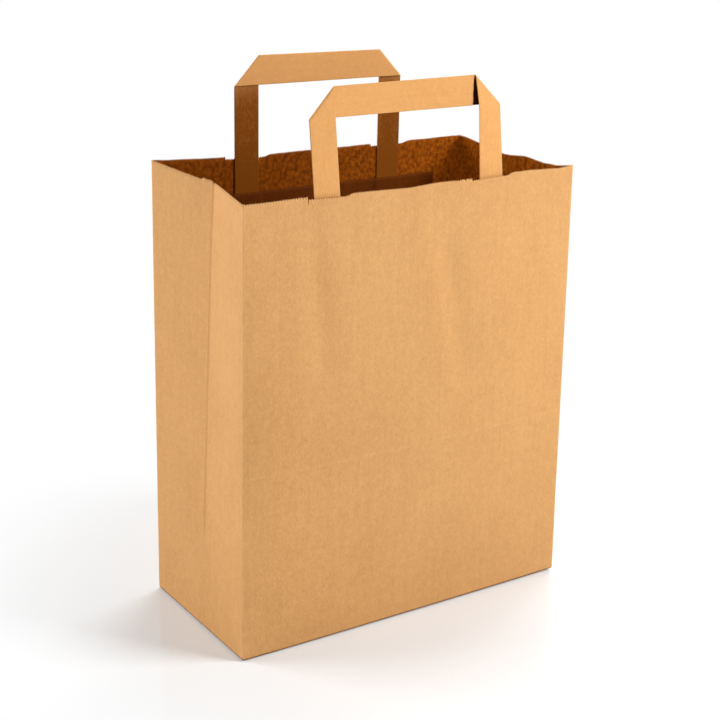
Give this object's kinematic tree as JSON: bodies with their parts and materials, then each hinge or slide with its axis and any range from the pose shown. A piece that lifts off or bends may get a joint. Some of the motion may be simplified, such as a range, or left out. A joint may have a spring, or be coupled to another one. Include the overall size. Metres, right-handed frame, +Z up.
{
  "type": "paper carrier bag",
  "caption": "Open kraft paper carrier bag with V-folded side gussets, a flat glued block bottom and flat paper-tape handles patched inside the mouth.",
  "frame": {"origin": "middle of the base's underside", "axes": "+X along the front panel, to the right as seen from the front, +Y from the front panel to the rear one, +Z up"},
  "size_m": [0.26, 0.1307, 0.3785],
  "materials": {
    "bag_paper": "matte",
    "handle_tape": "matte",
    "patch_paper": "matte"
  },
  "bodies": {
    "root": {"bag_body": "bag_paper", "front_handle": "handle_tape", "rear_handle": "handle_tape", "front_patch": "patch_paper", "rear_patch": "patch_paper"}
  },
  "joints": []
}
